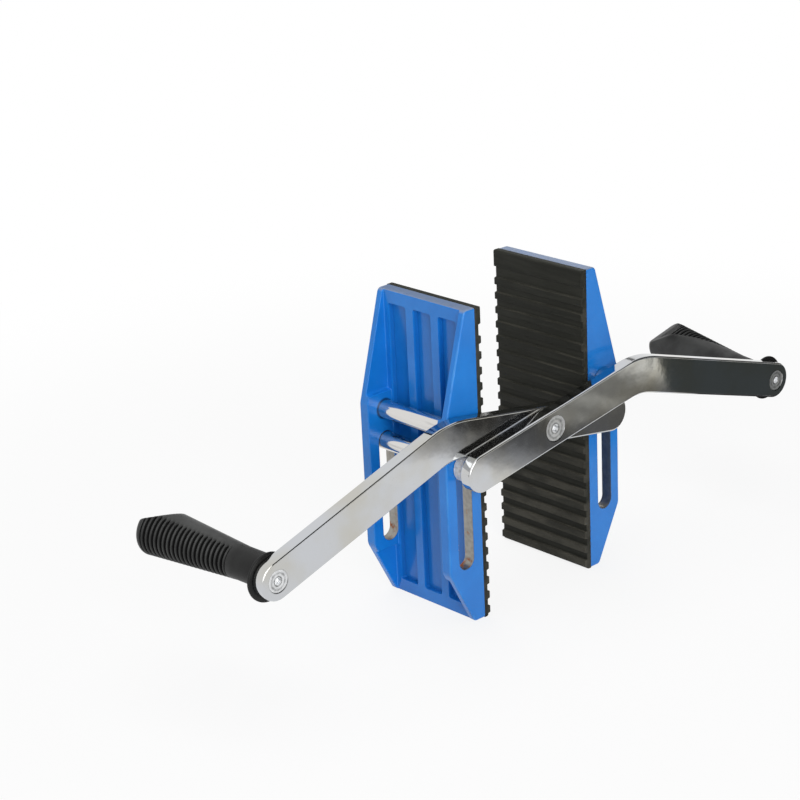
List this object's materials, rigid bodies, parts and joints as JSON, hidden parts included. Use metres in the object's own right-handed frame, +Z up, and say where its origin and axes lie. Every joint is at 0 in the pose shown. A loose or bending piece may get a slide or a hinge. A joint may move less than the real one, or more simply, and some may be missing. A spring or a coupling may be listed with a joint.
{
  "type": "stone lifting clamp",
  "caption": "Hand-carried stone clamp: parallel blue cast jaws with ribbed rubber pads, crossed bright steel arms and ribbed rubber grips; lifting the grips closes the jaws.",
  "frame": {"origin": "on the floor under the middle of the open clamp's bounding box", "axes": "+Z up, X across the clamp from jaw to jaw, -Y the front side, where the arms are"},
  "size_m": [0.5676, 0.1385, 0.24],
  "materials": {
    "jaw_paint": "gloss",
    "pad_rubber": "matte",
    "arm_plating": "bright",
    "rod_plating": "bright",
    "fastener_steel": "zinc plated",
    "grip_rubber": "satin"
  },
  "bodies": {
    "left_jaw_body": {"left_jaw": "jaw_paint", "left_pad": "pad_rubber"},
    "left_arm_body": {"left_arm": "arm_plating", "left_upper_rod": "rod_plating", "right_lower_rod": "rod_plating", "left_washer": "fastener_steel", "left_ring": "fastener_steel", "pivot_washer": "fastener_steel", "left_grip_screw": "fastener_steel", "left_spindle": "fastener_steel", "left_grip": "grip_rubber"},
    "right_arm_body": {"right_arm": "arm_plating", "right_upper_rod": "rod_plating", "left_lower_rod": "rod_plating", "left_collar": "rod_plating", "right_collar": "rod_plating", "right_washer": "fastener_steel", "right_ring": "fastener_steel", "pivot_bolt": "fastener_steel", "pivot_nut": "fastener_steel", "right_grip_screw": "fastener_steel", "right_spindle": "fastener_steel", "right_grip": "grip_rubber"},
    "right_jaw_body": {"right_jaw": "jaw_paint", "right_pad": "pad_rubber"}
  },
  "joints": [
    {"name": "left_arm_hinge", "type": "hinge", "parent": "left_jaw_body", "child": "left_arm_body", "pos_m": [-0.07447, -0.00325, 0.14996], "axis": [0, 1, 0], "range_deg": [0, 31]},
    {"name": "pivot_hinge", "type": "hinge", "parent": "left_arm_body", "child": "right_arm_body", "pos_m": [0, -0.05925, 0.1375], "axis": [0, -1, 0], "range_deg": [0, 62]},
    {"name": "right_jaw_hinge", "type": "hinge", "parent": "right_arm_body", "child": "right_jaw_body", "pos_m": [0.07447, -0.00325, 0.14996], "axis": [0, 1, 0], "range_deg": [0, 31]}
  ],
  "couplings": [
    {"joint": "pivot_hinge", "follows": "left_arm_hinge", "ratio": 2},
    {"joint": "right_jaw_hinge", "follows": "left_arm_hinge", "ratio": 1}
  ]
}
